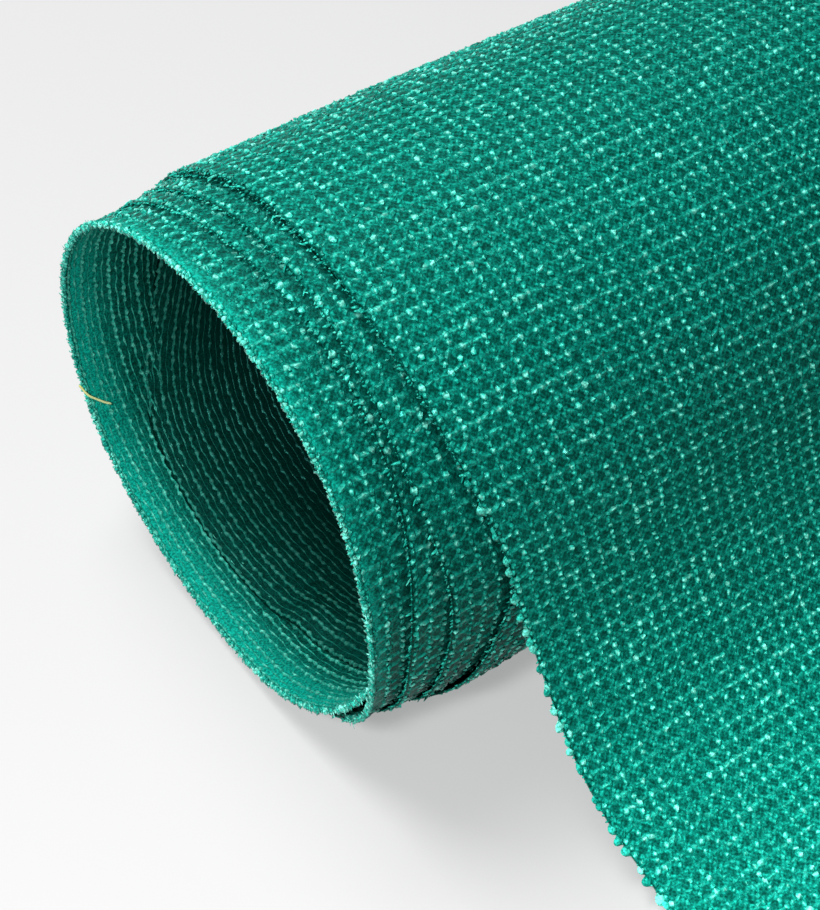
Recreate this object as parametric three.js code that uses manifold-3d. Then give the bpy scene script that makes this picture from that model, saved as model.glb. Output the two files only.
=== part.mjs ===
// A length of knitted shade cloth wound into a short hollow roll.
// The inner turns stand out of the left end in steps. The outermost turn comes over the top,
// leaves the roll at its front and runs out over the floor.
// Millimetres, X along the roll, Y to the back, Z up. Angles go round the roll's axis,
// 0 at the back, 90 at the top, 180 at the front and 270 where it rests.

import * as THREE from 'three';
import { mergeVertices } from 'three/addons/utils/BufferGeometryUtils.js';
import Module from 'manifold-3d';

const clothWidth = 400;
const clothThickness = 1.3;
const turnOverlap = 0.15;
const wallTurns = 3;
const floorLevel = -62.4;
const angleStep = 5;
const looseStationsPerRow = 4;
const outerTurnStart = 195;
const outerTurnEnd = 540;
const tuckedStretch = 15;
const flatWithin = 0.02;
const clothColour = 0x0a9a7a;

// One row for each twelfth of the roll's section:
// rim     inner radius of the turn that makes the rim, as uneven as the roll's round
// wall    thickness from the rim turn outwards to under the outermost turn, loosest low at the front
// lift    how far the outermost turn stands off the wall
// edge0 to edge4   left edge of each turn, from the short innermost one outwards; edge1 is the rim
const roundOfTheRoll = [
  { angle: 0, rim: 63.4, wall: 3.8, lift: 0, edge0: 25, edge1: 1, edge2: 11, edge3: 17, edge4: 25 },
  { angle: 30, rim: 61.2, wall: 3.6, lift: 0, edge0: 30, edge1: 0.5, edge2: 12, edge3: 18, edge4: 25 },
  { angle: 60, rim: 59, wall: 3.6, lift: 0, edge0: 31, edge1: 0, edge2: 11, edge3: 17, edge4: 24.5 },
  { angle: 90, rim: 58.2, wall: 3.9, lift: 0, edge0: 28, edge1: 0, edge2: 12.5, edge3: 18, edge4: 24.6 },
  { angle: 120, rim: 59.6, wall: 4, lift: 0.4, edge0: 24, edge1: 0.5, edge2: 14.5, edge3: 18, edge4: 24.8 },
  { angle: 150, rim: 61.6, wall: 4.3, lift: 1.4, edge0: 19, edge1: 1, edge2: 14.5, edge3: 17.5, edge4: 28 },
  { angle: 180, rim: 64.2, wall: 5, lift: 2.6, edge0: 13, edge1: 0.5, edge2: 10.5, edge3: 20.5, edge4: 33.5 },
  { angle: 210, rim: 63.2, wall: 6.4, lift: 2, edge0: 8, edge1: 0, edge2: 9, edge3: 17.5, edge4: 29 },
  { angle: 240, rim: 60, wall: 6.2, lift: 1.8, edge0: 6, edge1: 0, edge2: 5, edge3: 11, edge4: 17 },
  { angle: 270, rim: 57.5, wall: 4.4, lift: 0, edge0: 8, edge1: 0.5, edge2: 7, edge3: 13, edge4: 20 },
  { angle: 300, rim: 59.4, wall: 3.9, lift: 0, edge0: 9, edge1: 1, edge2: 9, edge3: 15.5, edge4: 24 },
  { angle: 330, rim: 62.8, wall: 3.9, lift: 0, edge0: 14, edge1: 1.2, edge2: 10.5, edge3: 17, edge4: 25 },
];

// Upper side of the loose end after it leaves the roll, and its left edge there.
// onFloor rows lie flat on the floor.
const looseEnd = [
  { y: -76.3, z: -12.5, edge: 35.0 },
  { y: -80.2, z: -22.5, edge: 35.8 },
  { y: -90.6, z: -38.6, edge: 36.2 },
  { y: -103.4, z: -49.2, edge: 36.0 },
  { y: -119.0, z: -56.6, edge: 36.5 },
  { y: -137.0, z: -60.4, edge: 37.0 },
  { y: -154.0, onFloor: true, edge: 36.6 },
  { y: -178.0, onFloor: true, edge: 36.0 },
  { y: -202.0, onFloor: true, edge: 36.4 },
];

// Smooth value of one column of the roll's table at any angle.
function around(column, angle) {
  const rows = roundOfTheRoll.length;
  const place = (((angle % 360) + 360) % 360) / (360 / rows);
  const row = Math.floor(place);
  const t = place - row;
  const [p0, p1, p2, p3] = [-1, 0, 1, 2].map((k) => roundOfTheRoll[(row + k + rows) % rows][column]);
  const slope1 = (p2 - p0) / 2;
  const slope2 = (p3 - p1) / 2;
  const rise = p2 - p1;
  return p1 + t * (slope1 + t * (3 * rise - 2 * slope1 - slope2 + t * (slope1 + slope2 - 2 * rise)));
}

function pointAt(angle, radius, lowest) {
  const turn = THREE.MathUtils.degToRad(angle);
  return [radius * Math.cos(turn), Math.max(radius * Math.sin(turn), lowest)];
}

// Closed body of one strip of cloth. Each station has the left and right edges (x) and the
// two faces (y, z) of the cloth there. A ring has no ends, an open strip is capped.
function stripBody(stations, isRing) {
  const positions = [];
  for (const { left, right, inner, outer } of stations) {
    positions.push(left, ...inner, left, ...outer, right, ...outer, right, ...inner);
  }
  const corners = 4;
  const indices = [];
  const spans = isRing ? stations.length : stations.length - 1;
  for (let span = 0; span < spans; span += 1) {
    const here = corners * span;
    const there = corners * ((span + 1) % stations.length);
    for (let corner = 0; corner < corners; corner += 1) {
      const next = (corner + 1) % corners;
      indices.push(here + corner, there + next, here + next);
      indices.push(here + corner, there + corner, there + next);
    }
  }
  if (!isRing) {
    const last = corners * (stations.length - 1);
    indices.push(0, 1, 2, 0, 2, 3);
    indices.push(last, last + 2, last + 1, last, last + 3, last + 2);
  }
  const geometry = new THREE.BufferGeometry();
  geometry.setAttribute('position', new THREE.Float32BufferAttribute(positions, 3));
  geometry.setIndex(indices);
  return geometry;
}

// One of the turns under the outermost one, a ring that sinks slightly into the turn inside it.
// Turn 0 lies inside the rim turn, the others share the wall between them.
function ringTurn(turn) {
  const stations = [];
  for (let angle = 0; angle < 360; angle += angleStep) {
    const rim = around('rim', angle);
    const share = around('wall', angle) / wallTurns;
    const innerFace = turn === 0 ? rim - clothThickness : rim + share * (turn - 1) - turnOverlap;
    const outerFace = turn === 0 ? rim + turnOverlap : rim + share * turn;
    const lowest = floorLevel + clothThickness;
    const left = around(`edge${turn}`, angle);
    stations.push({
      left,
      right: left + clothWidth,
      inner: pointAt(angle, innerFace, lowest),
      outer: pointAt(angle, outerFace, lowest),
    });
  }
  return stripBody(stations, true);
}

// Where the outermost turn is wound: it starts tucked against the wall low at the front,
// goes under, up the back and over the top, and ends at the front. outerTurnStart,
// outerTurnEnd and tuckedStretch are angles in degrees.
function woundStations() {
  const stations = [];
  for (let angle = outerTurnStart; angle <= outerTurnEnd; angle += angleStep) {
    const tucked = THREE.MathUtils.smoothstep(angle, outerTurnStart, outerTurnStart + tuckedStretch);
    const lift = around('lift', angle) * tucked;
    const radius = around('rim', angle) + around('wall', angle) + lift - turnOverlap;
    stations.push({
      edge: around('edge4', angle),
      inner: pointAt(angle, radius, floorLevel + clothThickness),
      outer: pointAt(angle, radius + clothThickness, floorLevel),
    });
  }
  return stations;
}

// Where it is loose: a smooth curve from the front of the roll down and out over the floor.
function looseStations(woundEnd, beforeEnd) {
  const upperOnFloor = floorLevel + clothThickness;
  const guide = [
    new THREE.Vector3(beforeEnd.edge, ...beforeEnd.outer),
    new THREE.Vector3(woundEnd.edge, ...woundEnd.outer),
    ...looseEnd.map(({ y, z, onFloor, edge }) => new THREE.Vector3(edge, y, onFloor ? upperOnFloor : z)),
  ];
  const curve = new THREE.CatmullRomCurve3(guide, false, 'centripetal');
  const spans = guide.length - 1;
  const stations = [];
  for (let step = looseStationsPerRow + 1; step <= spans * looseStationsPerRow; step += 1) {
    const place = step / (spans * looseStationsPerRow);
    const upper = curve.getPoint(place);
    upper.z = Math.max(upper.z, upperOnFloor);
    const along = curve.getTangent(place);
    const onFloor = upper.z - upperOnFloor < flatWithin;
    const down = onFloor ? new THREE.Vector3(0, 0, -1) : new THREE.Vector3(0, -along.z, along.y).normalize();
    const lower = upper.clone().addScaledVector(down, clothThickness);
    stations.push({
      edge: upper.x,
      inner: [lower.y, Math.max(lower.z, floorLevel)],
      outer: [upper.y, upper.z],
    });
  }
  return stations;
}

function outerTurn() {
  const wound = woundStations();
  const loose = looseStations(wound.at(-1), wound.at(-2));
  const stations = [...wound, ...loose].map(({ edge, inner, outer }) => ({
    left: edge,
    right: edge + clothWidth,
    inner,
    outer,
  }));
  return stripBody(stations, false);
}

const manifold = await Module();
manifold.setup();

function toSolid(geometry) {
  const merged = mergeVertices(geometry);
  return new manifold.Manifold(new manifold.Mesh({
    numProp: 3,
    vertProperties: new Float32Array(merged.attributes.position.array),
    triVerts: new Uint32Array(merged.index.array),
  }));
}

function toGeometry(solid) {
  const mesh = solid.getMesh();
  const geometry = new THREE.BufferGeometry();
  geometry.setAttribute('position', new THREE.Float32BufferAttribute(mesh.vertProperties, 3));
  geometry.setIndex([...mesh.triVerts]);
  geometry.computeVertexNormals();
  return geometry;
}

// All turns and the loose end are one piece of cloth, joined into one body.
function shadeCloth() {
  let body = toSolid(outerTurn());
  for (let turn = 0; turn <= wallTurns; turn += 1) {
    body = body.add(toSolid(ringTurn(turn)));
  }
  const material = new THREE.MeshStandardMaterial({ color: clothColour, roughness: 0.45, metalness: 0 });
  const cloth = new THREE.Mesh(toGeometry(body), material);
  cloth.name = 'shade_cloth_roll';
  return cloth;
}

const part = new THREE.Group();
const cloth = shadeCloth();
part.add(cloth);

// The origin is under the middle of the part, on the floor.
const box = new THREE.Box3().setFromObject(part);
const middle = box.getCenter(new THREE.Vector3());
cloth.position.set(-middle.x, -middle.y, -box.min.z);

export default part;
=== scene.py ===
# A short hollow roll of knitted shade cloth. Its inner turns stand out of the left end in steps.
# Its outermost turn comes over the top and runs out over the floor.
# Lengths in the tables are millimetres, angles are degrees. Blender's units are metres.

import math
import bpy
import numpy as np
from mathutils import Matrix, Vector


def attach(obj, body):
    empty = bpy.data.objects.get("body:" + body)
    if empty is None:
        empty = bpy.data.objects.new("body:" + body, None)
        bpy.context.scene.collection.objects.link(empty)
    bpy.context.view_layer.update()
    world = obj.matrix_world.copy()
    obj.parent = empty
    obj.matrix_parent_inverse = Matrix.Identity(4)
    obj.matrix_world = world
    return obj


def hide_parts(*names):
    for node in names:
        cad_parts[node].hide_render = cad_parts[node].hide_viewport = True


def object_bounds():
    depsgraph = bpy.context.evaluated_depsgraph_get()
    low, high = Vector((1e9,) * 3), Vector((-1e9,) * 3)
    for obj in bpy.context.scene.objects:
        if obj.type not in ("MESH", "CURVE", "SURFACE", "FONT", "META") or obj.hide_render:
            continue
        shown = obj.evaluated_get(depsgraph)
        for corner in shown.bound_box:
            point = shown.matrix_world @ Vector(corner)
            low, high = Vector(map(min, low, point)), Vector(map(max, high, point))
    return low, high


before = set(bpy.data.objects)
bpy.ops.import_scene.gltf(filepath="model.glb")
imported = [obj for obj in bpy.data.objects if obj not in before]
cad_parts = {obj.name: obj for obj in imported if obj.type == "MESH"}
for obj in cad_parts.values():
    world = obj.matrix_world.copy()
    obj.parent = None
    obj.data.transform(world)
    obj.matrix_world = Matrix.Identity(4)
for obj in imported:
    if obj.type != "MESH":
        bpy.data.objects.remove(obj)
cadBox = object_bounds()
mm = 0.001

cloth = {
    "width": 400.0,
    "thickness": 0.56,      # of the flat net without its stitches
    "relief": 0.5,          # how far the stitches stand off it
    "stationStep": 3.0,     # angle between two rows of points of the net
    "turnsInWall": 4.5,     # how many turns share the thickness of the wall
    "offRim": 0.3,          # how far outside the table's radius the net's middle lies
    "looseStep": 0.2,       # part of a row between two stations of the loose end
    "offFloor": 0.35,       # least height of the net's middle above the floor
    "clearance": 0.1,       # least height of any point above the floor
}

# The roll's axis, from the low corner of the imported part's box
rollAxis = {"left": 0.06, "fromLooseEdge": 202.0, "height": 62.4}

# Round of the roll: inner radius of the turn that makes the rim, wall of turns around it.
# 0 is the back, 90 the top, 180 the front and 270 the floor.
roundRows = [
    {"angle": 0, "rim": 63.4, "wall": 3.8},
    {"angle": 30, "rim": 61.2, "wall": 3.6},
    {"angle": 60, "rim": 59.0, "wall": 3.6},
    {"angle": 90, "rim": 58.2, "wall": 3.9},
    {"angle": 120, "rim": 59.6, "wall": 4.0},
    {"angle": 150, "rim": 61.6, "wall": 4.3},
    {"angle": 180, "rim": 64.2, "wall": 5.0},
    {"angle": 210, "rim": 63.0, "wall": 6.0},
    {"angle": 240, "rim": 59.9, "wall": 5.9},
    {"angle": 270, "rim": 57.3, "wall": 4.4},
    {"angle": 300, "rim": 59.0, "wall": 3.9},
    {"angle": 330, "rim": 63.2, "wall": 3.9},
]

# Left edge of the cloth from its inner end outwards, a value every 30 degrees of winding.
# A turn starts low at the front, at 210. sag is how far it hangs off the roll there.
innerEnd = 150.0
innerEndEdge = [24, 21]
turnRows = [
    {"sag": 0.0, "edge": [18, 17, 14, 13, 15, 26, 30, 31, 28, 22, 16, 8]},
    {"sag": 0.0, "edge": [2, 0, 0.5, 1, 1.2, 1, 0.5, 0, 0, 0.5, 1, 0.5]},
    {"sag": 2.3, "edge": [3, 5, 7, 9, 10.5, 11, 12, 11, 12.5, 14.5, 14.5, 10.5]},
    {"sag": 2.5, "edge": [11, 11, 13, 15.5, 17, 17, 18, 17, 18, 18, 17.5, 20.5]},
    {"sag": 2.6, "edge": [19, 19, 21, 23, 24.6, 24.4, 24.2, 23.9, 24.2, 25.2, 29, 36]},
    {"sag": 3.3, "edge": [28, 19, 20, 24, 25, 25, 25, 24.5, 24.6, 24.8, 28, 34]},
]
turnCount = len(turnRows)
turnStart = 195             # winding angle that the turns are counted from
rimTurn = 540               # where the turn that makes the rim starts
boreEnds = rimTurn + 15     # where the innermost turn is hidden under the rim's
rimCovered = rimTurn + 400  # where the next turn lies over the rim's
outerTurn = (turnCount - 1) * 360
stepsShow = 360 + 200       # where the steps of the stitched face start to be seen
outerShows = outerTurn + 200
underTheRoll = outerTurn + 288
outerEnd = outerTurn + 540.0

# The sag grows and fades between these angles, and is most at the lowest place
sagging = {"grows": (186, 212), "fades": (230, 262), "most": 222}

# Turns pressed flat on the floor: height of the outermost one's middle, step to each turn above it
pressed = {"outermost": 0.78, "step": 0.95, "turns": 5.2}

# How far the outermost turn stands off the wall towards its end
standOff = {"angle": [420, 480, 510, 540], "off": [0.0, 0.4, 1.4, 2.6]}

# Upper side of the loose end, from the roll's axis, and its left edge
looseRows = [
    {"y": -76.3, "z": -12.5, "edge": 36.2},
    {"y": -80.2, "z": -22.5, "edge": 37.2},
    {"y": -90.6, "z": -38.6, "edge": 37.6},
    {"y": -103.4, "z": -49.2, "edge": 37.6},
    {"y": -119.0, "z": -56.6, "edge": 38.2},
    {"y": -137.0, "z": -60.4, "edge": 37.4},
    {"y": -154.0, "z": -61.3, "edge": 37.8},
    {"y": -178.0, "z": -61.3, "edge": 37.0},
    {"y": -201.5, "z": -61.3, "edge": 37.4},
]

# Soft dents and one buckle of the innermost turn. wide and long are half widths across the
# cloth and along its winding, deep is towards the roll's axis, x is from the roll's left end.
dents = [
    {"angle": 258, "x": 19, "wide": 7.0, "long": 4.5, "deep": 3.0},
    {"angle": 246, "x": 27, "wide": 6.0, "long": 5.0, "deep": 1.6},
    {"angle": 730, "x": 16.5, "wide": 1.5, "long": 24.0, "deep": 0.9},
    {"angle": 722, "x": 22.0, "wide": 1.6, "long": 20.0, "deep": 1.1},
    {"angle": 382, "x": 29.5, "wide": 1.8, "long": 26.0, "deep": 1.0},
    {"angle": 372, "x": 36.0, "wide": 2.2, "long": 20.0, "deep": 0.8},
    {"angle": outerTurn + 477, "x": 104, "wide": 13.0, "long": 6.0, "deep": 0.5},
    {"angle": outerTurn + 452, "x": 210, "wide": 24.0, "long": 8.0, "deep": 0.5},
    {"angle": outerTurn + 400, "x": 320, "wide": 22.0, "long": 9.0, "deep": 0.7},
]

knit = {
    "wale": 3.75,           # between two chains of stitches
    "course": 1.87,         # between two stitches of a chain
    "firstChain": 0.9,      # from the left edge
    "slant": 13.0,          # stitches of a chain lean to one side and the other in turn
    "tapeSlant": 8.0,
    "slim": 0.88,           # size of every other stitch of a chain
    "zigzag": 0.14,         # how far the stitches of a chain stand to one side and the other
    "crumple": 0.12,        # how uneven the flat yarn is
    "tilt": 0.16,           # how unevenly the stitches lie
    "tiltAlong": 0.5,       # share of that along the chain
    "leastHigh": 0.02,      # of any raised point
    "rise": (0.75, 1.25),   # share of its height that a stitch has
    "tone": (0.5, 1.2),     # share of its lightness that a stitch has
    "speckle": 0.16,        # how uneven the lightness is from point to point
    # lightAtFoot is painted shade: a stitch darkens towards its foot
    "lightAtFoot": 0.45,      # how light a stitch is at its foot, 1 is its own colour
    "sway": 0.27,           # how far the chains wander
    "margin": 0.6,          # from the last chain to the right edge
    "seed": 7,
}

# Slow swells that all turns share: how many to a turn, how high, how they shift along the roll
swellRows = [
    {"perTurn": 2, "high": 0.35, "along": 61, "shift": 0.0},
    {"perTurn": 3, "high": 0.3, "along": -43, "shift": 1.1},
]

# They fade towards the floor, towards the stepped end and where the cloth leaves the roll
swellFades = {"floor": (35, 80), "end": (20, 90), "leaving": 40}

# One soft ripple of the hanging part, and the edge of the innermost turn, close to the turn around it
ripple = {"high": 0.5, "along": 47, "shift": 0.6, "reach": 190, "share": 2.2}
innerEdge = {"sunk": 0.85, "wide": 6}

# Where the net has a row of points across it, closest at its edges
columnPlaces = [0, 1.5, 3.5, 6, 9, 12, 15, 17, 19, 21, 23, 26, 29, 33, 38, 44, 54, 67, 80, 93, 106,
                120, 136, 154, 174, 196, 218, 240, 262, 286, 310, 334, 354, 370, 382, 391, 397, 400]


def cubic(four, t):
    p0, p1, p2, p3 = four
    slope1 = (p2 - p0) / 2
    slope2 = (p3 - p1) / 2
    rise = p2 - p1
    return p1 + t * (slope1 + t * (3 * rise - 2 * slope1 - slope2 + t * (slope1 + slope2 - 2 * rise)))


def roundValue(column, angle):
    values = np.array([row[column] for row in roundRows])
    place = (np.asarray(angle) % 360) / 30
    row = np.floor(place).astype(int)
    return cubic([values[(row + k) % 12] for k in (-1, 0, 1, 2)], place - row)


def listValue(values, place):
    values = np.asarray(values, float)
    row = np.clip(np.floor(place).astype(int), 0, len(values) - 1)
    pick = [values[np.clip(row + k, 0, len(values) - 1)] for k in (-1, 0, 1, 2)]
    t = place - row
    return cubic(pick, t[:, None] if values.ndim == 2 else t)


def ease(value, low, high):
    t = np.clip((value - low) / (high - low), 0, 1)
    return t * t * (3 - 2 * t)


def unitRows(rows):
    return rows / np.linalg.norm(rows, axis=-1)[..., None]


def edgeValue(wind):
    values = innerEndEdge + [v for row in turnRows for v in row["edge"]]
    return listValue(values, (np.asarray(wind, float) - innerEnd) / 30)


def woundPath():
    # one row for each station of the wound cloth: y, z, left edge, winding angle
    wind = np.append(np.arange(innerEnd, outerEnd, cloth["stationStep"]), outerEnd)
    level = (wind - turnStart) / 360
    share = roundValue("wall", wind) / cloth["turnsInWall"]
    radius = roundValue("rim", wind) + share * (level - 1) + cloth["offRim"]
    low = wind % 360
    hanging = ease(low, *sagging["grows"]) * (1 - ease(low, *sagging["fades"]))
    sagAt = [360 * k + sagging["most"] for k in range(turnCount)]
    radius += hanging * np.interp(wind, sagAt, [row["sag"] for row in turnRows])
    radius += np.interp(wind - outerTurn, standOff["angle"], standOff["off"])
    y = radius * np.cos(np.radians(wind))
    z = radius * np.sin(np.radians(wind))
    turnsBelow = np.maximum(pressed["turns"] - level, 0)
    lowest = -rollAxis["height"] + pressed["outermost"] + pressed["step"] * turnsBelow
    return np.column_stack([y, np.maximum(z, lowest), edgeValue(wind), wind])


def loosePath(wound):
    # a smooth curve through the loose rows that carries on from the roll
    rise = cloth["relief"] + cloth["thickness"] / 2
    ends = wound[-2:, :3].copy()
    ends[:, :2] *= 1 + rise / np.linalg.norm(ends[:, :2], axis=1)[:, None]
    guide = np.vstack([ends, [[row["y"], row["z"], row["edge"]] for row in looseRows]])
    fine = listValue(guide, np.arange(1, len(guide) - 1 + 1e-6, cloth["looseStep"]))
    along = unitRows(np.gradient(fine[:, :2], axis=0))
    fine[:, 0] -= along[:, 1] * rise
    fine[:, 1] += along[:, 0] * rise
    fine[:, 1] = np.maximum(fine[:, 1], -rollAxis["height"] + cloth["offFloor"])
    return np.column_stack([fine, np.full(len(fine), outerEnd)])[1:]


def clothField():
    # the net's middle: points and outward directions, stations by columns
    wound = woundPath()
    path = np.vstack([wound, loosePath(wound)])
    along = unitRows(np.gradient(path[:, :2], axis=0))
    out = np.column_stack([along[:, 1], -along[:, 0]])
    length = np.concatenate([[0], np.cumsum(np.linalg.norm(np.diff(path[:, :2], axis=0), axis=1))])
    # all stations of the loose end have the winding angle of the wound cloth's end
    looseStart = float(np.interp(outerEnd - 0.5, path[:, 3], length))
    places = np.array(columnPlaces, float)
    x = path[:, 2:3] + places[None, :]
    swell = slowSwell(path[:, 3:4], length[:, None], looseStart, x)
    y = path[:, 0:1] + out[:, 0:1] * swell
    z = path[:, 1:2] + out[:, 1:2] * swell
    low = cadBox[0]
    grid = np.stack([low[0] + (x + rollAxis["left"]) * mm,
                     low[1] + (y + rollAxis["fromLooseEdge"]) * mm,
                     low[2] + (z + rollAxis["height"]) * mm], axis=2)
    outward = np.stack([np.zeros_like(x), np.repeat(out[:, 0:1], x.shape[1], 1),
                        np.repeat(out[:, 1:2], x.shape[1], 1)], axis=2)
    return {"grid": grid, "out": outward, "length": length, "places": places,
            "wind": path[:, 3], "edge": path[:, 2], "looseStart": looseStart}


def slowSwell(wind, length, looseStart, x):
    # the swells of the roll, the ripple of the hanging part, and the dents
    loose = np.clip((length - looseStart) / ripple["reach"], 0, 1)
    fromFloor = np.abs((wind % 360 - 270 + 180) % 360 - 180)
    turn = np.radians(wind)
    swell = sum(row["high"] * np.sin(row["perTurn"] * turn + x / row["along"] + row["shift"])
                for row in swellRows)
    swell = swell * ease(fromFloor, *swellFades["floor"]) * ease(x, *swellFades["end"])
    swell = swell * (1 - ease(wind, outerEnd - swellFades["leaving"], outerEnd))
    hanging = np.sin(math.pi * np.clip(loose * ripple["share"], 0, 1))
    rippled = ripple["high"] * hanging * np.sin(x / ripple["along"] + ripple["shift"])
    result = np.where(loose > 0, rippled, swell)
    sunk = innerEdge["sunk"] * roundValue("wall", wind) / cloth["turnsInWall"]
    sunk = sunk * (1 - ease(x - edgeValue(wind), 0, innerEdge["wide"]))
    result = result + np.where(wind < rimTurn, sunk, 0)
    for dent in dents:
        far = ((wind - dent["angle"]) / dent["long"]) ** 2 + ((x - dent["x"]) / dent["wide"]) ** 2
        result = result - np.where(loose > 0, 0, dent["deep"] * np.exp(-far / 2))
    return result


def surfaceAt(field, along, across, up):
    # points of the cloth: along its length, across from its left edge, up off its middle
    station = np.interp(along, field["length"], np.arange(len(field["length"])))
    column = np.interp(across, field["places"], np.arange(len(field["places"])))
    past = np.where(across < 0, across, np.maximum(across - cloth["width"], 0))
    s0 = np.clip(np.floor(station).astype(int), 0, len(field["length"]) - 2)
    c0 = np.clip(np.floor(column).astype(int), 0, len(field["places"]) - 2)
    s = (station - s0)[..., None]
    c = (column - c0)[..., None]

    def blend(values):
        return ((values[s0, c0] * (1 - s) + values[s0 + 1, c0] * s) * (1 - c)
                + (values[s0, c0 + 1] * (1 - s) + values[s0 + 1, c0 + 1] * s) * c)

    point = blend(field["grid"])
    out = unitRows(blend(field["out"]))
    point[..., 0] += past * mm
    point = point + out * (up * mm)[..., None]
    point[..., 2] = np.maximum(point[..., 2], cadBox[0][2] + cloth["clearance"] * mm)
    return point


def windAt(field, along):
    return np.interp(along, field["length"], field["wind"])


def lengthAt(field, wind):
    return float(np.interp(wind, field["wind"], field["length"]))


# How much light reaches the cloth, 1 is all of it. Inside, it fades with depth from the nearer end.
boreLight = {"deepest": 0.02, "atMouth": 0.42, "fades": (10, 50)}
innerLight = {"covered": 0.24, "atEdge": 0.7, "fades": (9, 34)}
farMouth = 25               # how much further out than the cloth's width the right end lies

# Outside, painted shade darkens the turns towards the front and low at the front, and a painted shadow runs
# along the edge of the next turn
shade = {"grows": (186, 216), "fades": (290, 320), "onSteps": 0.28, "onOutermost": 0.3,
         "front": (100, 170), "inFront": 0.2, "stepShadow": (0.6, 3.4), "atStepShadow": 0.6}

# Painted light on the rounded rim makes it the lightest part, on its inner face for a wider stretch
paintedRimLight = {"inside": 14.0, "outside": 4.0, "full": 0.1}

# A single layer over the pale floor lets light through, from a little before it leaves the roll
thinFades = (-35, 70)


def opened(field, along, across, inside):
    # light on either face of the cloth
    wind = windAt(field, along)
    x = np.interp(along, field["length"], field["edge"]) + across
    depth = np.minimum(x, cloth["width"] + farMouth - x)
    inBore = boreLight["deepest"] + boreLight["atMouth"] * (1 - ease(depth, *boreLight["fades"]))
    onSteps = innerLight["covered"] + innerLight["atEdge"] * (1 - ease(depth, *innerLight["fades"]))
    inner = np.where(wind < boreEnds, inBore, onSteps)
    return np.where(inside & (wind < outerEnd - 1), inner, litOutside(field, along, across))


def litOutside(field, along, across):
    # light on the outer face, and on both faces of the loose end
    wind = windAt(field, along)
    low = wind % 360
    shaded = ease(low, *shade["grows"]) * (1 - ease(low, *shade["fades"]))
    inFront = shade["inFront"] * ease(low, *shade["front"])
    onSteps = inFront + shade["onSteps"] * shaded
    light = 1 - np.where(wind < outerShows, onSteps, shade["onOutermost"] * shaded)
    # painted shadow along the edge of the next turn, darkest close to it
    ahead = edgeValue(wind + 360) - edgeValue(wind) - across
    near = np.where(wind < outerEnd - 360, 1 - ease(ahead, *shade["stepShadow"]), 0)
    return light * (1 - shade["atStepShadow"] * near)


# painted light on the rim, fading away from its left edge
def paintedRimLightAt(field, along, across, inside):
    wind = windAt(field, along)
    onRim = (wind > rimTurn) & (wind < rimCovered)
    wide = np.where(inside, paintedRimLight["inside"], paintedRimLight["outside"])
    return np.where(onRim, 1 - ease(across / wide, paintedRimLight["full"], 1), 0)


def thinAt(field, along):
    return ease(along - field["looseStart"], *thinFades)


def meshFrom(name, points, quads, attributes, material, smooth=True, uv=None):
    mesh = bpy.data.meshes.new(name)
    points = np.asarray(points, np.float32).reshape(-1, 3)
    quads = np.asarray(quads, np.int32).reshape(-1, 4)
    mesh.vertices.add(len(points))
    mesh.vertices.foreach_set("co", points.ravel())
    mesh.loops.add(len(quads) * 4)
    mesh.loops.foreach_set("vertex_index", quads.ravel())
    mesh.polygons.add(len(quads))
    mesh.polygons.foreach_set("loop_start", np.arange(0, len(quads) * 4, 4, dtype=np.int32))
    mesh.polygons.foreach_set("loop_total", np.full(len(quads), 4, np.int32))
    mesh.polygons.foreach_set("use_smooth", np.full(len(quads), smooth))
    if uv is not None:
        layer = mesh.uv_layers.new(name="cloth")
        layer.data.foreach_set("uv", np.asarray(uv, np.float32)[quads.ravel()].ravel())
    for key, values in attributes.items():
        layer = mesh.attributes.new(key, "FLOAT", "POINT")
        layer.data.foreach_set("value", np.asarray(values, np.float32).ravel())
    mesh.update()
    mesh.validate()
    mesh.materials.append(material)
    piece = bpy.data.objects.new(name, mesh)
    bpy.context.scene.collection.objects.link(piece)
    return piece


def gridQuads(rows, columns, turned=False):
    r, c = np.meshgrid(np.arange(rows - 1), np.arange(columns - 1), indexing="ij")
    a = (r * columns + c).ravel()
    quads = np.column_stack([a, a + 1, a + columns + 1, a + columns])
    return quads[:, ::-1] if turned else quads


def netSheet(field, material):
    # the whole cloth, one closed thin sheet from its inner end to its loose end
    half = cloth["thickness"] / 2
    rows, columns = field["grid"].shape[:2]
    outer = field["grid"] + field["out"] * half * mm
    inner = field["grid"] - field["out"] * half * mm
    points = np.concatenate([outer.reshape(-1, 3), inner.reshape(-1, 3)])
    count = rows * columns
    quads = [gridQuads(rows, columns, turned=True), gridQuads(rows, columns) + count]
    left = np.arange(rows) * columns
    start = np.arange(columns)
    borders = ((left, False), (left + columns - 1, True),
               (start, True), (start + (rows - 1) * columns, False))
    for line, turned in borders:
        a, b = line[:-1], line[1:]
        band = np.column_stack([a, b, b + count, a + count])
        quads.append(band[:, ::-1] if turned else band)
    across, along = np.meshgrid(field["places"], field["length"])
    across, along = across.ravel(), along.ravel()
    uv = np.column_stack([across - swayAt(along, across), along])
    light = [opened(field, along, across, np.full(count, inside)) for inside in (False, True)]
    attributes = {"open": np.concatenate(light), "thin": np.tile(thinAt(field, along), 2),
                  "inner": np.repeat([0.0, 1.0], count),
                  "paintedRimLight": np.concatenate([paintedRimLightAt(field, along, across, inside) for inside in (False, True)])}
    return meshFrom("net_sheet", points, np.concatenate(quads), attributes, material,
                    uv=np.concatenate([uv, uv]))
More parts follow.
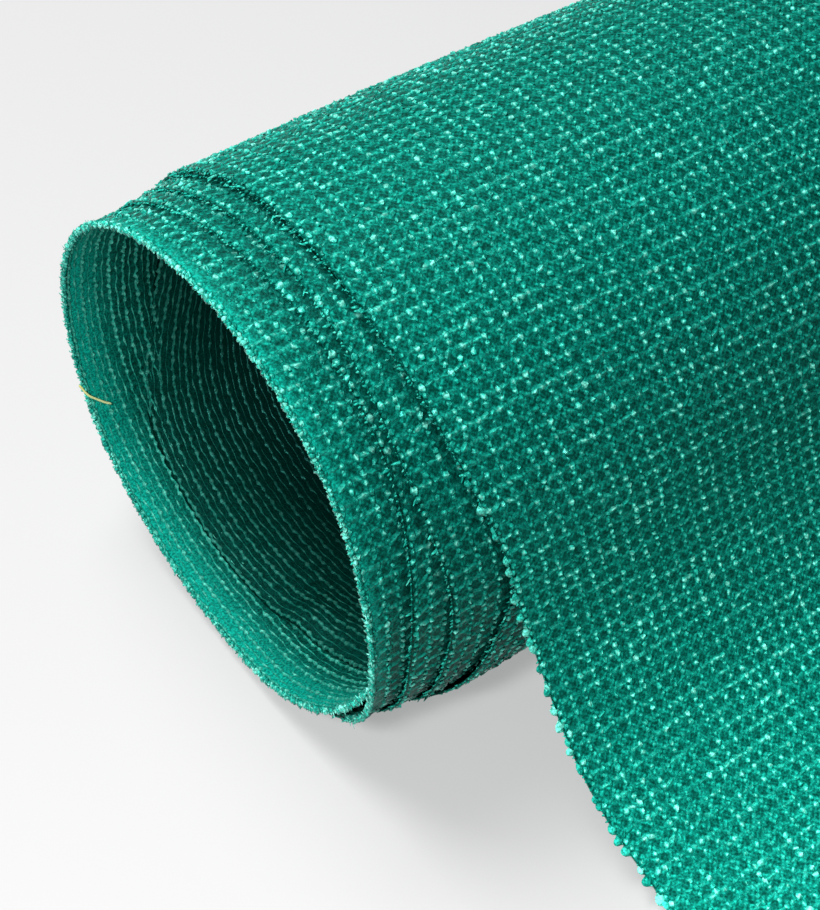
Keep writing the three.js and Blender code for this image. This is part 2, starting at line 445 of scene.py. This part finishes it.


# Raised parts of the knit, as rows of points along each: places, half widths and heights.
# side places the points across it, crown is their share of the height. Below 0 is sunk in the net.
# light is a painted highlight along it, brightest at the middle, shine is the share of that across it, a
# narrower painted glint.
# size is the range of sizes, shift and turn are how far the places and directions stray.
chainStitch = {
    "along": [-0.76, 0.0, 0.76],
    "half": [0.54, 0.8, 0.52],
    "high": [0.18, 0.46, 0.15],
    "side": [-1.0, -0.42, 0.42, 1.0],
    "crown": [-0.06, 1.0, 0.94, -0.06],
    "light": [0.4, 1.0, 0.3],
    "shine": [0.4, 1.15, 0.62, 0.4],
    "size": (0.7, 1.2),
    "shift": 0.1,
    "turn": 9,
}
bridgeTape = {
    "along": [-1.25, 0.0, 1.25],
    "half": [0.6, 0.78, 0.6],
    "high": [0.2, 0.3, 0.2],
    "side": [-1.0, 0.0, 1.0],
    "crown": [-0.05, 1.0, -0.05],
    "light": [0.3, 0.62, 0.3],
    "shine": [0.7, 1.1, 0.7],
    "size": (0.65, 1.1),
    "shift": 0.1,
    "turn": 12,
}


def layStitches(field, shape, along, across, turned, size, chance):
    # copies of one stitch, each turned, tilted and crumpled a little differently
    sides = len(shape["side"])
    points = len(shape["along"]) * sides
    count = len(along)
    size = np.broadcast_to(size, count)[:, None]
    a = np.repeat(shape["along"], sides)
    s = np.tile(shape["side"], len(shape["along"])) * np.repeat(shape["half"], sides)
    crown = np.tile(shape["crown"], len(shape["along"]))
    raised = crown > 0
    h = np.where(raised, crown * np.repeat(shape["high"], sides), crown)
    quads = gridQuads(len(shape["along"]), sides, turned=True)
    crumpled = chance.normal(0, knit["crumple"], (3, count, points))
    leaning = chance.normal(0, knit["tilt"], (2, count, 1))
    cos, sin = np.cos(turned)[:, None], np.sin(turned)[:, None]
    alongAt = along[:, None] + (a * cos - s * sin) * size + crumpled[0]
    acrossAt = across[:, None] + (a * sin + s * cos) * size + crumpled[1]
    up = h[None, :] * size * chance.uniform(*knit["rise"], count)[:, None]
    up = up + np.where(raised, a * leaning[0] * knit["tiltAlong"] + s * leaning[1] + crumpled[2], 0)
    up = np.where(raised, np.maximum(up, knit["leastHigh"]), up)
    places = surfaceAt(field, alongAt, acrossAt, cloth["thickness"] / 2 + up)
    index = quads[None, :, :] + (np.arange(count) * points)[:, None, None]
    # painted highlight: the middle of each stitch lighter, bigger stitches lighter still
    light = np.repeat(shape["light"], sides) * np.tile(shape["shine"], len(shape["along"])) * size ** 2
    fleck = light * chance.uniform(*knit["tone"], (count, 1))
    fleck = fleck + chance.normal(0, knit["speckle"], (count, points))
    # painted shade: 1 on a stitch's crown, darker towards its foot where it goes into the net
    lightByHeight = np.clip(up / max(shape["high"]) + knit["lightAtFoot"], 0, 1)
    return {"points": places.reshape(-1, 3), "quads": index.reshape(-1, 4),
            "fleck": np.clip(fleck, 0, 1).ravel(), "crown": lightByHeight.ravel(),
            "open": litOutside(field, alongAt, acrossAt).ravel(), "thin": thinAt(field, alongAt).ravel()}


def joined(name, parts, material, smooth=True):
    starts = np.cumsum([0] + [len(part["points"]) for part in parts[:-1]])
    quads = np.concatenate([part["quads"] + start for part, start in zip(parts, starts)])
    keys = ("fleck", "crown", "open", "thin")
    attributes = {key: np.concatenate([part[key] for part in parts]) for key in keys}
    return meshFrom(name, np.concatenate([part["points"] for part in parts]), quads, attributes,
                    material, smooth)


def chainPlaces():
    count = math.floor((cloth["width"] - knit["margin"] - knit["firstChain"]) / knit["wale"]) + 1
    return knit["firstChain"] + np.arange(count) * knit["wale"]


def cells(low, high):
    # courses and wales between two places along the cloth
    rows = np.arange(math.ceil(low / knit["course"]), math.ceil(high / knit["course"]))
    course, wale = np.meshgrid(rows, np.arange(len(chainPlaces())), indexing="ij")
    return course.ravel(), wale.ravel()


def swayAt(along, across):
    return knit["sway"] * (np.sin(along / 23 + across / 31) + 0.5 * np.sin(along / 8.7 - across / 12.5))


def knitPiece(name, field, course, wale, chance, material):
    # every other stitch is a fuller knot, and there a tape bridges to the next chain
    full = course % 2 == 0
    lean = np.where(full, 1.0, -1.0)
    along = course * knit["course"]
    across = chainPlaces()[wale]
    count = len(course)
    size = np.where(full, 1.0, knit["slim"]) * chance.uniform(*chainStitch["size"], count)
    shift = chainStitch["shift"]
    alongAt = along + chance.normal(0, shift, count)
    acrossAt = across + lean * knit["zigzag"] + swayAt(along, across) + chance.normal(0, shift, count)
    turned = np.radians(lean * knit["slant"] + chance.normal(0, chainStitch["turn"], count))
    chain = layStitches(field, chainStitch, alongAt, acrossAt, turned, size, chance)
    bridged = full & (wale < len(chainPlaces()) - 1)
    along = along[bridged]
    across = across[bridged] + knit["wale"] / 2
    lean = np.where(wale[bridged] % 2 == 0, 1.0, -1.0)
    count = len(along)
    size = chance.uniform(*bridgeTape["size"], count)
    alongAt = along + chance.normal(0, bridgeTape["shift"], count)
    turned = np.radians(90 + lean * knit["tapeSlant"] + chance.normal(0, bridgeTape["turn"], count))
    tape = layStitches(field, bridgeTape, alongAt, across + swayAt(along, across), turned, size, chance)
    return joined(name, [chain, tape], material, smooth=False)


# Where the outer face has stitches: all over the outermost turn, only near its ends while it is
# under the roll, and on the other turns as far as they stand out of the next one and a little more
knitShows = {"leftEnd": 48, "rightEnd": 352, "pastStep": 7, "fromLooseEdge": 1.4}


def knitFront(field, material):
    # the outermost turn in pieces from under the roll to the loose end, then the steps
    chance = np.random.default_rng(knit["seed"])
    start = lengthAt(field, outerShows)
    names = ["knit_under", "knit_back", "knit_top", "knit_front", "knit_loose_end"]
    cuts = np.linspace(start, field["length"][-1] - knitShows["fromLooseEdge"], len(names) + 1)
    pieces = []
    for name, low, high in zip(names, cuts[:-1], cuts[1:]):
        course, wale = cells(low, high)
        across = chainPlaces()[wale]
        atEnds = (across < knitShows["leftEnd"]) | (across > knitShows["rightEnd"])
        seen = (course * knit["course"] > lengthAt(field, underTheRoll)) | atEnds
        pieces.append(knitPiece(name, field, course[seen], wale[seen], chance, material))
    course, wale = cells(lengthAt(field, stepsShow), start)
    wind = windAt(field, course * knit["course"])
    step = np.maximum(edgeValue(wind + 360) - edgeValue(wind), 0)
    stepped = chainPlaces()[wale] < step + knitShows["pastStep"]
    pieces.append(knitPiece("knit_steps", field, course[stepped], wale[stepped], chance, material))
    return pieces


# Lines of stitches on the back of the cloth, fullRib where they are seen from near.
# waist is the size of every other bead, broken is the share of beads that hardly show.
# tone is how light the yarn is at no size and what a bead of size 1 adds.
fullRib = {"step": 1.05, "half": 0.72, "high": 0.62, "waist": 0.5, "broken": 0.05}
plainRib = {"step": 2.1, "half": 0.5, "high": 0.4, "waist": 0.62, "broken": 0.0}
thinRib = {"step": 2.1, "half": 0.34, "high": 0.3, "waist": 0.5, "broken": 0.3}
ribs = {"size": (0.7, 1.2), "brokenSize": 0.3, "zigzag": 0.14, "stray": 0.06, "sunk": -0.2,
        "tone": (0.1, 0.75)}

# How far in from each end the back has them. between is from a chain to the thin line beside it,
# innerEnd is from the cloth's inner end, underNext is degrees under the turn that covers the rim's.
ribsShow = {"bore": 100, "boreThin": 76, "rim": 36, "rimThin": 32,
            "farBore": 50, "farRim": 30, "between": 1.8, "innerEnd": 2, "underNext": 10}


def layRibs(field, low, high, across, rib, chance):
    # chains as they show on the back: thin beaded lines along the cloth
    along = np.arange(low, high, rib["step"])
    rows, count = len(along), len(across)
    bead = np.where(np.arange(rows) % 2 == 0, 1.0, rib["waist"])
    size = bead[:, None] * chance.uniform(*ribs["size"], (rows, count))
    size = size * np.where(chance.uniform(0, 1, (rows, count)) < rib["broken"], ribs["brokenSize"], 1.0)
    wander = np.where(np.arange(rows) % 4 < 2, ribs["zigzag"], -ribs["zigzag"])[:, None]
    middle = across[None, :] + wander + swayAt(along[:, None], across[None, :])
    middle = middle + chance.normal(0, ribs["stray"], (rows, count))
    side = np.array([-1.0, 0.0, 1.0])
    acrossAt = middle[:, :, None] + side * rib["half"] * size[:, :, None]
    up = np.where(side == 0, 1.0, ribs["sunk"]) * rib["high"] * size[:, :, None]
    alongAt = np.broadcast_to(along[:, None, None], acrossAt.shape)
    points = surfaceAt(field, alongAt, acrossAt, -(cloth["thickness"] / 2 + up))
    index = gridQuads(rows, 3)[None] + (np.arange(count) * rows * 3)[:, None, None]

    def inRows(values):
        return np.broadcast_to(values, acrossAt.shape).transpose(1, 0, 2).ravel()

    light = opened(field, inRows(alongAt), inRows(acrossAt), np.full(acrossAt.size, True))
    fleck = np.clip(ribs["tone"][0] + ribs["tone"][1] * size[:, :, None], 0, 1)
    # crown here is painted shade, dark at the sides of each bead where it sinks into the net
    return {"points": points.transpose(1, 0, 2, 3).reshape(-1, 3), "quads": index.reshape(-1, 4),
            "fleck": inRows(fleck), "crown": inRows(np.where(side == 0, 1.0, 0.0)), "open": light,
            "thin": np.zeros(acrossAt.size)}


def knitBack(field, material):
    chance = np.random.default_rng(knit["seed"] + 1)
    wales = chainPlaces()
    fromRight = cloth["width"] - wales
    rimStart = lengthAt(field, boreEnds)
    rimEnd = lengthAt(field, rimCovered + ribsShow["underNext"])
    outer = lengthAt(field, outerEnd)
    start = ribsShow["innerEnd"]
    near = (wales < ribsShow["bore"]) | (fromRight < ribsShow["farBore"])
    thinNear = (wales < ribsShow["boreThin"]) | (fromRight < ribsShow["farBore"])
    onRim = wales < ribsShow["rim"]
    thinOnRim = wales < ribsShow["rimThin"]
    between = ribsShow["between"]
    bore = [layRibs(field, start, rimStart, wales[near], fullRib, chance),
            layRibs(field, start, rimStart, wales[~near], plainRib, chance),
            layRibs(field, start, rimStart, wales[thinNear] + between, thinRib, chance)]
    rims = [layRibs(field, rimStart, rimEnd, wales[onRim], fullRib, chance),
            layRibs(field, rimStart, rimEnd, wales[thinOnRim] + between, thinRib, chance),
            layRibs(field, rimStart, outer, wales[fromRight < ribsShow["farRim"]], plainRib, chance)]
    return [joined("ribs_in_bore", bore, material), joined("ribs_at_ends", rims, material)]


def layTufts(field, along, side, shape, chance):
    # closed little yarn ends that stick out past the left or the right edge
    count = len(along)
    rows = len(shape["reach"])
    reach = np.array(shape["reach"])[None, :] * chance.uniform(*tufts["reach"], count)[:, None]
    slope = np.linspace(0, 1, rows)[None, :]
    aside = chance.normal(0, shape["aside"], count)[:, None] * slope
    lift = (chance.normal(0, shape["lift"], count)[:, None] + shape["raised"]) * slope ** tufts["bend"]
    size = chance.uniform(*tufts["size"], count)[:, None]
    half = np.array(shape["half"])[None, :] * size
    thick = np.array(shape["thick"])[None, :] * size
    ring = np.array([[-1, 0], [0, 1], [1, 0], [0, -1]], float)
    alongAt = (along[:, None] + aside)[:, :, None] + ring[:, 0] * half[:, :, None]
    upAt = lift[:, :, None] + ring[:, 1] * thick[:, :, None]
    edge = 0.0 if side < 0 else cloth["width"]
    acrossAt = np.broadcast_to((edge + side * (reach - shape["inset"]))[:, :, None], alongAt.shape)
    points = surfaceAt(field, alongAt, acrossAt, upAt)
    quads = []
    for row in range(rows - 1):
        for k in range(4):
            a, b = row * 4 + k, row * 4 + (k + 1) % 4
            quads.append([a, b, b + 4, a + 4])
    quads += [[3, 2, 1, 0], [rows * 4 - 4, rows * 4 - 3, rows * 4 - 2, rows * 4 - 1]]
    quads = np.array(quads) if side > 0 else np.array(quads)[:, ::-1]
    index = quads[None] + (np.arange(count) * rows * 4)[:, None, None]
    low, high = shape["fleck"]
    lit = np.where(windAt(field, along) < rimTurn, tufts["litInBore"], 1.0)
    # crown here is painted shade, darker at the root of each yarn end
    return {"points": points.reshape(-1, 3), "quads": index.reshape(-1, 4),
            "fleck": np.repeat(chance.uniform(low, high, count), rows * 4),
            "crown": np.tile(np.repeat([tufts["lightAtRoot"]] + [1.0] * (rows - 1), 4), count),
            "open": np.repeat(lit, rows * 4), "thin": np.repeat(thinAt(field, along), rows * 4)}


# What all yarn ends share: ranges of length and size, how they bend up, how far their places stray,
# how light they are at the root and on the innermost turn, both painted shade
tufts = {"reach": (0.6, 1.25), "size": (0.8, 1.2), "bend": 1.3, "stray": 0.22,
         "lightAtRoot": 0.6, "litInBore": 0.3}

# Yarn ends along the edges, one every step. half and thick are half sizes along the edge and off
# the cloth, aside and lift are how far the tips stray, fleck is how light they are.
tuft = {"step": 1.25, "reach": [0.0, 0.5, 0.95], "half": [0.34, 0.3, 0.12], "thick": [0.26, 0.22, 0.1],
        "inset": 0.4, "aside": 0.3, "lift": 0.18, "raised": 0.05, "fleck": (0.0, 0.7)}
tooth = {"step": 2 * knit["course"], "reach": [0.0, 0.9, 1.7, 2.1], "half": [1.45, 1.35, 0.95, 0.45],
         "thick": [0.34, 0.42, 0.34, 0.15],
         "inset": 0.7, "aside": 0.25, "lift": 0.15, "raised": 0.05, "fleck": (0.2, 0.8)}
snag = {"step": 8.0, "reach": [0.0, 1.0, 1.8], "half": [0.42, 0.36, 0.14], "thick": [0.34, 0.3, 0.12],
        "inset": 0.3, "aside": 0.7, "lift": 0.35, "raised": 0.1, "fleck": (0.1, 0.7)}
lipKnot = {"step": 0.85, "reach": [0.0, 0.6, 1.0], "half": [0.66, 0.74, 0.4], "thick": [0.8, 0.95, 0.55],
           "inset": 0.65, "aside": 0.2, "lift": 0.3, "raised": 0.1, "fleck": (0.1, 0.85)}
rimFuzz = {"step": 0.6, "reach": [0.0, 0.3, 0.5], "half": [0.36, 0.36, 0.2], "thick": [0.36, 0.36, 0.2],
           "inset": 0.1, "aside": 0.3, "lift": 0.6, "raised": 0.2, "fleck": (0.5, 1.0)}
farTuft = {**tuft, "step": 2.1}
leftSide = -1
rightSide = 1

# Where the rows of yarn ends start and stop: lengths from the ends of the cloth, and the angle
# before the loose end where the sparse ones give way to teeth
edgeRows = {"innerEnd": 1, "looseEnd": 0.6, "teeth": 25}


def frayedEdges(field, material):
    chance = np.random.default_rng(knit["seed"] + 2)
    start = edgeRows["innerEnd"]
    end = field["length"][-1] - edgeRows["looseEnd"]
    rim = lengthAt(field, rimTurn)
    rimEnd = lengthAt(field, rimCovered)
    hanging = lengthAt(field, outerEnd - edgeRows["teeth"])
    outer = lengthAt(field, outerShows)

    def row(low, high, side, shape):
        along = np.arange(low, high, shape["step"])
        along = along + chance.normal(0, shape["step"] * tufts["stray"], len(along))
        return layTufts(field, along, side, shape, chance)

    onLeft = [row(rim, end, leftSide, tuft),
              row(hanging, end, leftSide, tooth),
              row(rimEnd, hanging, leftSide, snag),
              row(rim, rimEnd, leftSide, lipKnot),
              row(rim, rimEnd, leftSide, rimFuzz)]
    onRight = [row(start, end, rightSide, farTuft), row(outer, end, rightSide, tooth)]
    return [joined("frayed_left_edge", onLeft, material), joined("frayed_right_edge", onRight, material)]


# A short tan yarn caught on the rim: places along and across the cloth, and up off its middle
strayYarn = {"wind": [702.2, 701.4, 700.4, 699.3, 698.0, 696.5, 695.5],
             "across": [-0.9, -0.6, -0.3, 0.3, 1.7, 3.4, 4.9],
             "up": [0.1, -0.6, -1.2, -1.8, -2.2, -2.5, -2.6],
             "radius": 0.28, "tip": 0.3, "sides": 6, "steps": 20}


def strayPiece(field, material):
    place = np.linspace(0, len(strayYarn["wind"]) - 1, strayYarn["steps"])
    wind = listValue(strayYarn["wind"], place)
    middle = surfaceAt(field, np.interp(wind, field["wind"], field["length"]),
                       listValue(strayYarn["across"], place), listValue(strayYarn["up"], place))
    ahead = unitRows(np.gradient(middle, axis=0))
    aside = unitRows(np.cross(ahead, [0.3, 0.2, 1.0]))  # any direction that the yarn never takes
    above = np.cross(aside, ahead)
    turn = np.linspace(0, 2 * math.pi, strayYarn["sides"], endpoint=False)
    taper = np.full(strayYarn["steps"], strayYarn["radius"] * mm)
    taper[[0, -1]] *= strayYarn["tip"]
    ring = aside[:, None] * np.cos(turn)[None, :, None] + above[:, None] * np.sin(turn)[None, :, None]
    points = middle[:, None] + ring * taper[:, None, None]
    return meshFrom("stray_yarn", points, tubeQuads(strayYarn["steps"], strayYarn["sides"]),
                    {"fleck": np.repeat(place / place[-1], strayYarn["sides"])}, material)


def tubeQuads(steps, sides):
    quads = []
    for step in range(steps - 1):
        for k in range(sides):
            a, b = step * sides + k, step * sides + (k + 1) % sides
            quads.append([a, b, b + sides, a + sides])
    last = (steps - 1) * sides
    for low in range(sides // 2 - 1):
        high = sides - 1 - low
        quads.append([high, high - 1, low + 1, low])
        quads.append([last + low, last + low + 1, last + high - 1, last + high])
    return quads


def newMaterial(name):
    material = bpy.data.materials.new(name)
    material.use_nodes = True
    nodes, links = material.node_tree.nodes, material.node_tree.links
    return material, nodes, links, nodes["Principled BSDF"]


def attribute(nodes, name):
    node = nodes.new("ShaderNodeAttribute")
    node.attribute_name = name
    return node.outputs["Fac"]


def colourRamp(nodes, links, source, stops):
    ramp = nodes.new("ShaderNodeValToRGB")
    elements = ramp.color_ramp.elements
    elements[0].position, elements[0].color = stops[0][0], (*stops[0][1], 1)
    elements[1].position, elements[1].color = stops[-1][0], (*stops[-1][1], 1)
    for place, colour in stops[1:-1]:
        elements.new(place).color = (*colour, 1)
    links.new(source, ramp.inputs["Fac"])
    return ramp.outputs["Color"]


def mixed(nodes, links, factor, first, second, blend="MIX"):
    # mix of two colours, each a socket or a plain colour, the factor a socket or a number
    node = nodes.new("ShaderNodeMix")
    node.data_type = "RGBA"
    node.blend_type = blend
    for key, value in (("Factor", factor), ("A", first), ("B", second)):
        socket = next(s for s in node.inputs if s.name == key and s.enabled)
        if isinstance(value, bpy.types.NodeSocket):
            links.new(value, socket)
        else:
            socket.default_value = value if key == "Factor" else (*value, 1)
    return next(s for s in node.outputs if s.enabled)


def calculated(nodes, links, operation, first, second=None):
    node = nodes.new("ShaderNodeMath")
    node.operation = operation
    for place, value in enumerate((first, second)):
        if isinstance(value, bpy.types.NodeSocket):
            links.new(value, node.inputs[place])
        elif value is not None:
            node.inputs[place].default_value = value
    return node.outputs[0]


def fineNoise(nodes, links, grain):
    where = nodes.new("ShaderNodeTexCoord")
    noise = nodes.new("ShaderNodeTexNoise")
    noise.inputs["Scale"].default_value = grain["scale"]
    noise.inputs["Detail"].default_value = grain["detail"]
    links.new(where.outputs["Object"], noise.inputs["Vector"])
    return noise.outputs["Fac"]


def noiseRamp(nodes, links, grain):
    return colourRamp(nodes, links, fineNoise(nodes, links, grain), grain["stops"])


def roughened(nodes, links, shader, grain):
    bump = nodes.new("ShaderNodeBump")
    bump.inputs["Strength"].default_value = grain["strength"]
    bump.inputs["Distance"].default_value = grain["distance"]
    links.new(fineNoise(nodes, links, grain), bump.inputs["Height"])
    links.new(bump.outputs["Normal"], shader.inputs["Normal"])


# What all materials of the cloth share
clothLook = {
    "glossTint": (0.16, 1.0, 0.86, 1),
    "deepInside": (0.0, 0.012, 0.009),      # where no light reaches
    "lightThrough": (2.1, 2.0, 2.0),        # how much lighter a single layer is over the floor
    # fine light and dark specks of the crumpled tapes, the light ones also painted glints
    "specks": {"scale": 1900, "detail": 1,
               "stops": [(0.34, (0.5, 0.5, 0.5)), (0.5, (0.95, 0.95, 0.95)), (0.66, (1.5, 1.5, 1.5))]},
}
yarnLook = {
    # the lightest stop, near white mint, is a painted glint on the stitches' middles
    "stops": [(0.0, (0.001, 0.13, 0.096)), (0.3, (0.004, 0.25, 0.187)), (0.6, (0.022, 0.42, 0.32)),
              (0.9, (0.2, 0.76, 0.62))],
    "rough": (0.16, 0.36),                  # of the lightest and the darkest yarn
}
ribLook = {
    "stops": [(0.0, (0.002, 0.11, 0.08)), (0.55, (0.02, 0.38, 0.28)), (1.0, (0.14, 0.68, 0.53))],
    "rough": (0.3, 0.5),
}
anyYarn = {
    # painted shade, the colour a stitch darkens to at its foot
    "footShade": (0.0005, 0.1, 0.073),         # where a stitch goes down into the net
    "cloudy": {"scale": 9, "detail": 3, "stops": [(0.32, (0.8, 0.82, 0.82)), (0.68, (1.1, 1.08, 1.08))]},
    "bump": {"scale": 1700, "detail": 2, "strength": 0.5, "distance": 0.0003},
    "specular": 0.4,
}


def finishedColour(nodes, links, colour):
    # lighter where light comes through, darker where little light reaches
    through = mixed(nodes, links, 1.0, colour, clothLook["lightThrough"], "MULTIPLY")
    colour = mixed(nodes, links, attribute(nodes, "thin"), colour, through)
    return mixed(nodes, links, attribute(nodes, "open"), clothLook["deepInside"], colour)


def yarnMaterial(name, look):
    # glossy flat yarn, each stitch a little lighter or darker, darkest where it dips
    material, nodes, links, shader = newMaterial(name)
    fleck = attribute(nodes, "fleck")
    colour = colourRamp(nodes, links, fleck, look["stops"])
    for grain in (anyYarn["cloudy"], clothLook["specks"]):
        colour = mixed(nodes, links, 1.0, colour, noiseRamp(nodes, links, grain), "MULTIPLY")
    # painted shade towards each stitch's foot, where crown is low
    colour = mixed(nodes, links, attribute(nodes, "crown"), anyYarn["footShade"], colour)
    links.new(finishedColour(nodes, links, colour), shader.inputs["Base Color"])
    gloss = nodes.new("ShaderNodeMapRange")
    gloss.inputs["To Min"].default_value = look["rough"][1]
    gloss.inputs["To Max"].default_value = look["rough"][0]
    links.new(fleck, gloss.inputs["Value"])
    links.new(gloss.outputs["Result"], shader.inputs["Roughness"])
    shader.inputs["Specular IOR Level"].default_value = anyYarn["specular"]
    shader.inputs["Specular Tint"].default_value = clothLook["glossTint"]
    roughened(nodes, links, shader, anyYarn["bump"])
    return material


# The flat net: pits between the stitches painted dark as shade where the layer below shows through, finer
# specks at half their pitch, a plain inner face
netLook = {
    "pitShade": 0.33,
    "fineSpecks": 0.16,
    "uneven": {"scale": 1000, "detail": 3},
    "stops": [(0.12, (0.0006, 0.05, 0.036)), (0.42, (0.0012, 0.11, 0.082)), (0.66, (0.004, 0.24, 0.182))],
    "inner": {"scale": 900, "detail": 2,
              "stops": [(0.35, (0.001, 0.045, 0.033)), (0.65, (0.0015, 0.1, 0.074))]},
    "paintedRimLight": (0.003, 0.3, 0.225),
    "bump": {"scale": 1900, "detail": 1, "strength": 0.6, "distance": 0.0004},
    "rough": 0.5,
    "specular": 0.1,
}


def netMaterial(look):
    material, nodes, links, shader = newMaterial("openNet")
    where = nodes.new("ShaderNodeUVMap")
    where.uv_map = "cloth"
    apart = nodes.new("ShaderNodeSeparateXYZ")
    links.new(where.outputs["UV"], apart.inputs["Vector"])
    waves = []
    specks = []
    for axis, pitch, start in (("X", knit["wale"], knit["firstChain"] + knit["wale"] / 2),
                               ("Y", knit["course"] * 2, knit["course"])):
        turn = calculated(nodes, links, "MULTIPLY", apart.outputs[axis], math.pi / pitch)
        turn = calculated(nodes, links, "SUBTRACT", turn, math.pi * start / pitch)
        waves.append(calculated(nodes, links, "COSINE", turn))
        finer = calculated(nodes, links, "MULTIPLY", turn, 4)
        specks.append(calculated(nodes, links, "COSINE", finer))
    # painted shade in the pits between the chains and their bridging tapes
    both = calculated(nodes, links, "MULTIPLY", *waves)
    pit = calculated(nodes, links, "MULTIPLY", both, both)
    pit = calculated(nodes, links, "MULTIPLY", pit, look["pitShade"])
    speck = calculated(nodes, links, "MULTIPLY", *specks)
    speck = calculated(nodes, links, "MULTIPLY", speck, look["fineSpecks"])
    total = calculated(nodes, links, "SUBTRACT", fineNoise(nodes, links, look["uneven"]), pit)
    total = calculated(nodes, links, "ADD", total, speck)
    colour = colourRamp(nodes, links, total, look["stops"])
    colour = mixed(nodes, links, attribute(nodes, "inner"), colour, noiseRamp(nodes, links, look["inner"]))
    # painted light on the rim
    colour = mixed(nodes, links, attribute(nodes, "paintedRimLight"), colour, look["paintedRimLight"])
    colour = mixed(nodes, links, 1.0, colour, noiseRamp(nodes, links, clothLook["specks"]), "MULTIPLY")
    links.new(finishedColour(nodes, links, colour), shader.inputs["Base Color"])
    roughened(nodes, links, shader, look["bump"])
    shader.inputs["Roughness"].default_value = look["rough"]
    shader.inputs["Specular IOR Level"].default_value = look["specular"]
    shader.inputs["Specular Tint"].default_value = clothLook["glossTint"]
    return material


tanLook = {
    "stops": [(0.0, (0.5, 0.5, 0.13)), (1.0, (0.66, 0.74, 0.36))],
    "rough": 0.45,
    "bump": {"scale": 2400, "detail": 2, "strength": 0.4, "distance": 0.0002},
}


def tanMaterial(look):
    material, nodes, links, shader = newMaterial("tanYarn")
    colour = colourRamp(nodes, links, attribute(nodes, "fleck"), look["stops"])
    links.new(colour, shader.inputs["Base Color"])
    shader.inputs["Roughness"].default_value = look["rough"]
    roughened(nodes, links, shader, look["bump"])
    return material


floorLook = {"size": 16, "place": (0.4, 0.6, 0), "grey": 0.3, "glow": 0.372, "rough": 0.9}


def plainFloor():
    bpy.ops.mesh.primitive_plane_add(size=floorLook["size"], location=floorLook["place"])
    floor = bpy.context.object
    floor.name = "pale_floor"
    material, _, _, shader = newMaterial("paleFloor")
    shader.inputs["Base Color"].default_value = (*[floorLook["grey"]] * 3, 1)
    shader.inputs["Emission Color"].default_value = (1, 1, 1, 1)
    shader.inputs["Emission Strength"].default_value = floorLook["glow"]
    shader.inputs["Roughness"].default_value = floorLook["rough"]
    shader.inputs["Specular IOR Level"].default_value = 0.0
    floor.data.materials.append(material)


view = {
    "place": (-0.36268, -0.20798, 0.37698),
    "towards": (0.41901, 0.56544, -0.71043),
    "lens": 76.06,
    "sensor": 36,
}
lights = [
    {"name": "overhead", "place": (-0.3, 0.48, 1.05), "aim": (0.0, 0.05, 0.05), "size": 0.6, "power": 17.0},
    {"name": "front", "place": (-0.42, -0.13, 0.36), "aim": (-0.18, 0.0, 0.08), "size": 0.06, "power": 1.6},
]
skyStrength = 0.11


def cameraAndLights():
    data = bpy.data.cameras.new("camera")
    data.lens = view["lens"]
    data.sensor_width = view["sensor"]
    camera = bpy.data.objects.new("camera", data)
    bpy.context.scene.collection.objects.link(camera)
    camera.location = view["place"]
    camera.rotation_euler = Vector(view["towards"]).to_track_quat("-Z", "Y").to_euler()
    bpy.context.scene.camera = camera
    for row in lights:
        lamp = bpy.data.lights.new(row["name"], "AREA")
        lamp.size = row["size"]
        lamp.energy = row["power"]
        holder = bpy.data.objects.new(row["name"], lamp)
        bpy.context.scene.collection.objects.link(holder)
        holder.location = row["place"]
        towards = Vector(row["aim"]) - Vector(row["place"])
        holder.rotation_euler = towards.to_track_quat("-Z", "Y").to_euler()
    world = bpy.data.worlds.new("studio")
    world.use_nodes = True
    world.node_tree.nodes["Background"].inputs["Color"].default_value = (1, 1, 1, 1)
    world.node_tree.nodes["Background"].inputs["Strength"].default_value = skyStrength
    bpy.context.scene.world = world
    bpy.context.scene.view_settings.view_transform = "Standard"


cameraAndLights()
plainFloor()
print("camera, lights and floor are set")

field = clothField()

net = netSheet(field, netMaterial(netLook))
yarn = yarnMaterial("plasticYarn", yarnLook)
ribYarn = yarnMaterial("chainYarn", ribLook)
knitting = knitFront(field, yarn) + knitBack(field, ribYarn) + frayedEdges(field, yarn)
knitting.append(strayPiece(field, tanMaterial(tanLook)))
for piece in [net, *knitting]:
    print(piece.name, len(piece.data.polygons) * 2, "triangles")

for piece in [net, *knitting]:
    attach(piece, "root")
    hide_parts("shade_cloth_roll")
